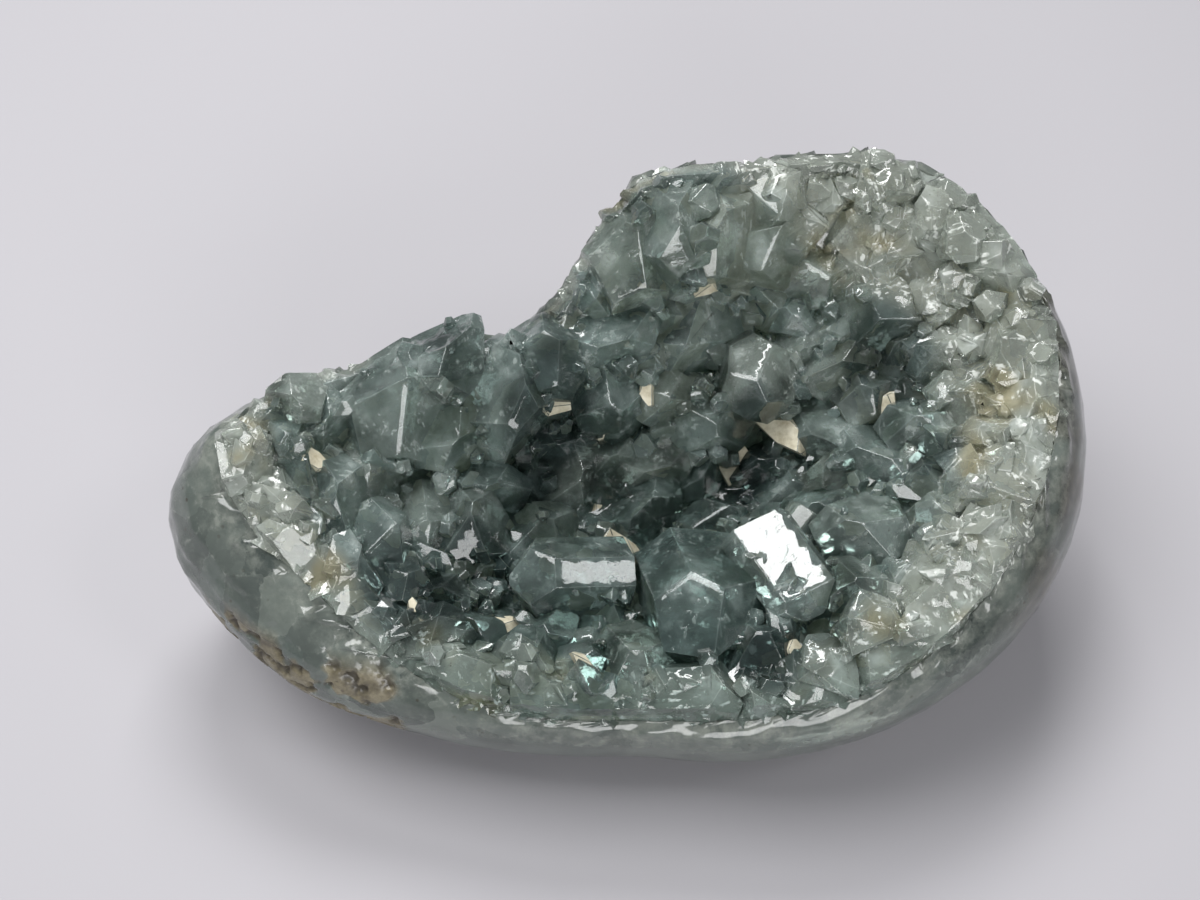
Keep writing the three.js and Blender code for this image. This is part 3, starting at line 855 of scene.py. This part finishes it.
def crystals_piece(rim):
    """The crust: small crystals added, facets sorted by crystal, edges chipped, then relief on its faces."""
    seat = surface_tree(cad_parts["polished_rind"])
    piece = copy_of("crystal_crust", "crystals")
    mesh = piece.data
    mesh.materials.append(celestite_crystal())
    mesh.materials.append(pale_matrix())
    overgrow(piece, seat, rim)
    seams, ridges, kinds = in_fine_facets(mesh, seat)

    spots = corners(mesh)
    normals = outward(mesh)
    plan = spots[:, :2]
    near_rim = 0.85 * (1 - smooth(1.5, 4, distances(spots, rim)))
    # painted shade: the crystals' colour darkens lower in the hollow and further towards its front and back
    height = spots[:, 2] - 0.35 * np.abs(spots[:, 1] + 5)
    # painted shade: the crystals' colour is darkened where little is open over them, in the gaps and under
    # overhangs
    store(mesh, "openness", open_share(spots, normals, surface_tree(piece)))
    store(mesh, "pale", np.maximum(crushed_share(plan), near_rim))
    # dark clear crystals, and partly painted shade where the hollow lies in shadow
    store(mesh, "smoky", smoky_and_shade_share(plan) * 0.8)
    store(mesh, "high", smooth(16, 40, height))
    store(mesh, "cloud", clouds(spots, 8, seed=1))
    store(mesh, "stain", smooth(0.55, 0.7, clouds(spots, 12, seed=2)) * 0.8)
    to_edge = np.minimum(distances(spots, seams), distances(spots, ridges))
    spots = relief(spots, normals, to_edge, kinds, seat)
    move_corners(mesh, spots + wandering(spots, distances(spots, rim)))
    smooth_by_angle(piece, 14)
    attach(piece, "root")
    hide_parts("crystal_crust")


# ---- The rind ----

RIM_TURN = 45  # degrees of turn at the rind's sharp edge
GROUND_MM = 0.2  # the ground flat ends under this height
RIND_EDGE_MM = 3  # longest edge of the rind
PITTED_EDGE_MM = 1  # longest edge where it is pitted
PITTED_CORNER_MM = (-38, -16, 38)  # the pitted part is left of, before and under this
POLISHED, SEATED = 0, 1  # the rind's materials: its outside, and the inside under the crust
LIP_MM = 3  # the inside is polished this near to the rim


def rim_line():
    """Places along the rind's sharp edge, in mm."""
    work = opened_mesh(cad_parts["polished_rind"].data)
    rim = edge_points(work, lambda turn: turn > RIM_TURN)
    work.free()
    return rim


def in_pitted_part(edge):
    """Whether an edge is in the rind's pitted part."""
    x, y, z = (limit * MM for limit in PITTED_CORNER_MM)
    return all(v.co.x < x and v.co.y < y and v.co.z < z for v in edge.verts)


def make_rounder(mesh, rim):
    """Rounds the rind's outside, splits it finely and sorts its faces by material."""
    work = bmesh.new()
    work.from_mesh(mesh)
    middle = Vector((0, 0, 30 * MM))
    for f in work.faces:
        inward = f.normal.dot(f.calc_center_median() - middle) < 0
        f.material_index = SEATED if inward else POLISHED
    outer = [
        f
        for f in work.faces
        if f.material_index == POLISHED and max(v.co.z for v in f.verts) > GROUND_MM * MM
    ]
    edges = list(dict.fromkeys(e for f in outer for e in f.edges))
    bmesh.ops.subdivide_edges(work, edges=edges, cuts=2, smooth=1.0, use_grid_fill=True)
    bmesh.ops.triangulate(work, faces=work.faces)
    bmesh.ops.dissolve_degenerate(work, dist=WELD, edges=work.edges)
    bmesh.ops.triangulate(work, faces=work.faces)
    split_long_edges(work, RIND_EDGE_MM)
    split_long_edges(work, PITTED_EDGE_MM, in_pitted_part)
    rim_tree = point_tree(rim)
    for f in work.faces:
        if rim_tree.find(f.calc_center_median() / MM)[2] < LIP_MM:
            f.material_index = POLISHED
    close_mesh(work, mesh)


def rind_piece(rim):
    """The ground and polished outside, rounder than its facets, pitted in the weathered part."""
    piece = copy_of("polished_rind", "rind")
    mesh = piece.data
    make_rounder(mesh, rim)

    spots = corners(mesh)
    normals = outward(mesh)
    to_rim = distances(spots, rim)
    patches = clouds(spots, 9, seed=5)
    low_front = 1 - smooth(4, 10, line_distance(spots[:, :2], TAN_LINE))
    low = 1 - smooth(28, 38, spots[:, 2])
    tan = low_front * smooth(0.36, 0.46, patches) * low
    pits = smooth(0.52, 0.62, clouds(spots, 2.6, seed=7)) * tan * 1.1
    frosted = smooth(0.35, 0.6, clouds(spots, 6, seed=6))
    store(mesh, "white", (1 - smooth(1, 8, to_rim)) * frosted)
    store(mesh, "tan", tan)
    store(mesh, "dark", smooth(55, 74, spots[:, 0]) * smooth(0.35, 0.6, patches) * 0.8)
    store(mesh, "pit", np.minimum(pits, 1))
    swell = (clouds(spots, 16, seed=8) - 0.5) * 0.5
    move = swell * smooth(0.5, 4, to_rim) - pits * smooth(0.5, 2, to_rim)
    moved = spots + normals * np.where(spots[:, 2] > 0.5, move, 0)[:, None]
    moved += wandering(spots, to_rim)
    moved[:, 2] = np.maximum(moved[:, 2], 0)
    move_corners(mesh, moved)
    smooth_by_angle(piece, 40)
    mesh.materials.append(polished_celestite())
    mesh.materials.append(pale_matrix())
    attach(piece, "root")
    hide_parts("polished_rind")


rim = rim_line()
crystals_piece(rim)
rind_piece(rim)

# ---- Setting ----

LAMP_AIM = Vector((0, 0, 35 * MM))  # the middle of the part
CAMERA_AIM = Vector((-5.6, -1.6, 41.0)) * MM
CAMERA_RISE = math.radians(55)
CAMERA_AWAY = 292 * MM
# Each lamp's name, its place, its width and height in mm, and its watts.
LAMPS = [
    ("window", (-20, 375, 615), (300, 220), 3.2),
    ("overhead", (-320, 60, 750), (450, 450), 4.4),
    ("side_window", (370, -165, 610), (150, 150), 0.5),
    ("room", (100, -780, 330), (560, 400), 4.0),
]


def stage_floor():
    """A wide pale floor under the part."""
    bpy.ops.mesh.primitive_plane_add(size=4, location=(0, 0, 0))
    floor = bpy.context.object
    floor.name = "floor"
    floor.data.materials.append(pale_card())


def soft_lamp(name, place_mm, size_mm, watts):
    """A broad soft lamp that faces the part."""
    data = bpy.data.lights.new(name, "AREA")
    data.shape = "RECTANGLE"
    data.size = size_mm[0] * MM
    data.size_y = size_mm[1] * MM
    data.energy = watts
    lamp = bpy.data.objects.new(name, data)
    bpy.context.collection.objects.link(lamp)
    lamp.location = Vector(place_mm) * MM
    lamp.rotation_euler = (LAMP_AIM - lamp.location).to_track_quat("-Z", "Y").to_euler()


def set_camera():
    """A 50 mm lens on a 36 mm sensor, that looks down into the hollow."""
    data = bpy.data.cameras.new("camera")
    data.lens = 50
    data.sensor_width = 36
    data.clip_start = 0.01
    camera = bpy.data.objects.new("camera", data)
    bpy.context.collection.objects.link(camera)
    back = Vector((0, -math.cos(CAMERA_RISE), math.sin(CAMERA_RISE)))
    camera.location = CAMERA_AIM + back * CAMERA_AWAY
    camera.rotation_euler = (-back).to_track_quat("-Z", "Y").to_euler()
    bpy.context.scene.camera = camera


def set_world():
    """Even, faintly blue light from all round."""
    world = bpy.data.worlds.new("studio")
    world.use_nodes = True
    sky = world.node_tree.nodes["Background"]
    sky.inputs["Color"].default_value = linear("#dfe3ea")
    sky.inputs["Strength"].default_value = 0.24
    bpy.context.scene.world = world


stage_floor()
for lamp in LAMPS:
    soft_lamp(*lamp)
set_camera()
set_world()
bpy.context.scene.view_settings.view_transform = "Standard"
